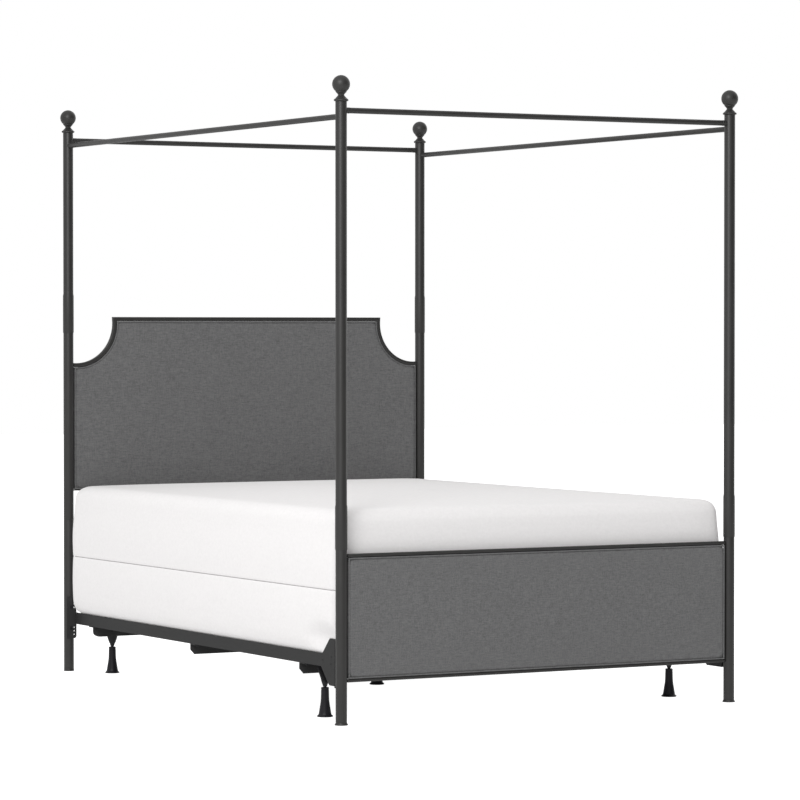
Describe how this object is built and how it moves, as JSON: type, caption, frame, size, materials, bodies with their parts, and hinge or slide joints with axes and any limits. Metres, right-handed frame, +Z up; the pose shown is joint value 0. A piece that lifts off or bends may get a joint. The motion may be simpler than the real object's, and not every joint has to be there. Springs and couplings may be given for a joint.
{
  "type": "four poster canopy bed",
  "caption": "Steel four poster bed with ball finials, round canopy rails, scooped padded headboard, padded footboard, angle-iron frame on glides, box spring and mattress.",
  "frame": {"origin": "on the floor, under the middle of the bed", "axes": "+X from left to right as seen from the foot of the bed, +Y from foot to head, +Z up"},
  "size_m": [1.599, 2.2502, 2.1375],
  "materials": {
    "charcoal_steel": "fine matt powder coat",
    "black_steel": "satin",
    "black_plastic": "satin",
    "grey_linen": "heathered slub weave",
    "white_knit": "quilted stretch knit",
    "board": "cloth-covered board"
  },
  "bodies": {
    "frame": {"upper_post_foot_left": "charcoal_steel", "finial_foot_left": "charcoal_steel", "foot_cap_foot_left": "charcoal_steel", "rail_bush_foot_left_cross": "charcoal_steel", "rail_bush_foot_left_long": "charcoal_steel", "upper_post_foot_right": "charcoal_steel", "finial_foot_right": "charcoal_steel", "foot_cap_foot_right": "charcoal_steel", "rail_bush_foot_right_cross": "charcoal_steel", "rail_bush_foot_right_long": "charcoal_steel", "upper_post_head_left": "charcoal_steel", "finial_head_left": "charcoal_steel", "foot_cap_head_left": "charcoal_steel", "rail_bush_head_left_cross": "charcoal_steel", "rail_bush_head_left_long": "charcoal_steel", "upper_post_head_right": "charcoal_steel", "finial_head_right": "charcoal_steel", "foot_cap_head_right": "charcoal_steel", "rail_bush_head_right_cross": "charcoal_steel", "rail_bush_head_right_long": "charcoal_steel", "foot_leg_left": "charcoal_steel", "head_leg_left": "charcoal_steel", "headboard_side_post_left": "charcoal_steel", "canopy_rail_left": "charcoal_steel", "side_rail_left": "charcoal_steel", "foot_bracket_left": "charcoal_steel", "head_bracket_left": "charcoal_steel", "foot_leg_right": "charcoal_steel", "head_leg_right": "charcoal_steel", "headboard_side_post_right": "charcoal_steel", "canopy_rail_right": "charcoal_steel", "side_rail_right": "charcoal_steel", "foot_bracket_right": "charcoal_steel", "head_bracket_right": "charcoal_steel", "canopy_rail_foot": "charcoal_steel", "canopy_rail_head": "charcoal_steel", "headboard_trim": "charcoal_steel", "headboard_bottom_bar": "charcoal_steel", "headboard_pad": "grey_linen", "headboard_board": "board", "footboard_top_bar": "charcoal_steel", "footboard_bottom_bar": "charcoal_steel", "footboard_pad": "grey_linen", "footboard_board": "board", "cross_member_head": "charcoal_steel", "cross_member_middle": "charcoal_steel", "cross_member_foot": "charcoal_steel", "leg_socket_head_left": "black_steel", "leg_socket_head_right": "black_steel", "leg_socket_middle": "black_steel", "leg_socket_foot_left": "black_steel", "leg_socket_foot_right": "black_steel"},
    "glide_head_left": {"glide_head_left": "black_plastic"},
    "glide_head_right": {"glide_head_right": "black_plastic"},
    "glide_middle": {"glide_middle": "black_plastic"},
    "glide_foot_left": {"glide_foot_left": "black_plastic"},
    "glide_foot_right": {"glide_foot_right": "black_plastic"},
    "box_spring": {"box_spring": "white_knit"},
    "mattress": {"mattress": "white_knit"}
  },
  "joints": [
    {"name": "box_spring_lift", "type": "slide", "parent": "frame", "child": "box_spring", "axis": [0, 0, 1], "range_m": [0, 0.45]},
    {"name": "mattress_lift", "type": "slide", "parent": "box_spring", "child": "mattress", "axis": [0, 0, 1], "range_m": [0, 0.6]},
    {"name": "glide_head_left_turn", "type": "hinge", "parent": "frame", "child": "glide_head_left", "pos_m": [-0.66, 0.9398, 0.05], "axis": [0, 0, 1], "continuous": true},
    {"name": "glide_head_right_turn", "type": "hinge", "parent": "frame", "child": "glide_head_right", "pos_m": [0.66, 0.9398, 0.05], "axis": [0, 0, 1], "continuous": true},
    {"name": "glide_middle_turn", "type": "hinge", "parent": "frame", "child": "glide_middle", "pos_m": [0, 0.0572, 0.05], "axis": [0, 0, 1], "continuous": true},
    {"name": "glide_foot_left_turn", "type": "hinge", "parent": "frame", "child": "glide_foot_left", "pos_m": [-0.692, -0.8355, 0.05], "axis": [0, 0, 1], "continuous": true},
    {"name": "glide_foot_right_turn", "type": "hinge", "parent": "frame", "child": "glide_foot_right", "pos_m": [0.692, -0.8355, 0.05], "axis": [0, 0, 1], "continuous": true}
  ]
}
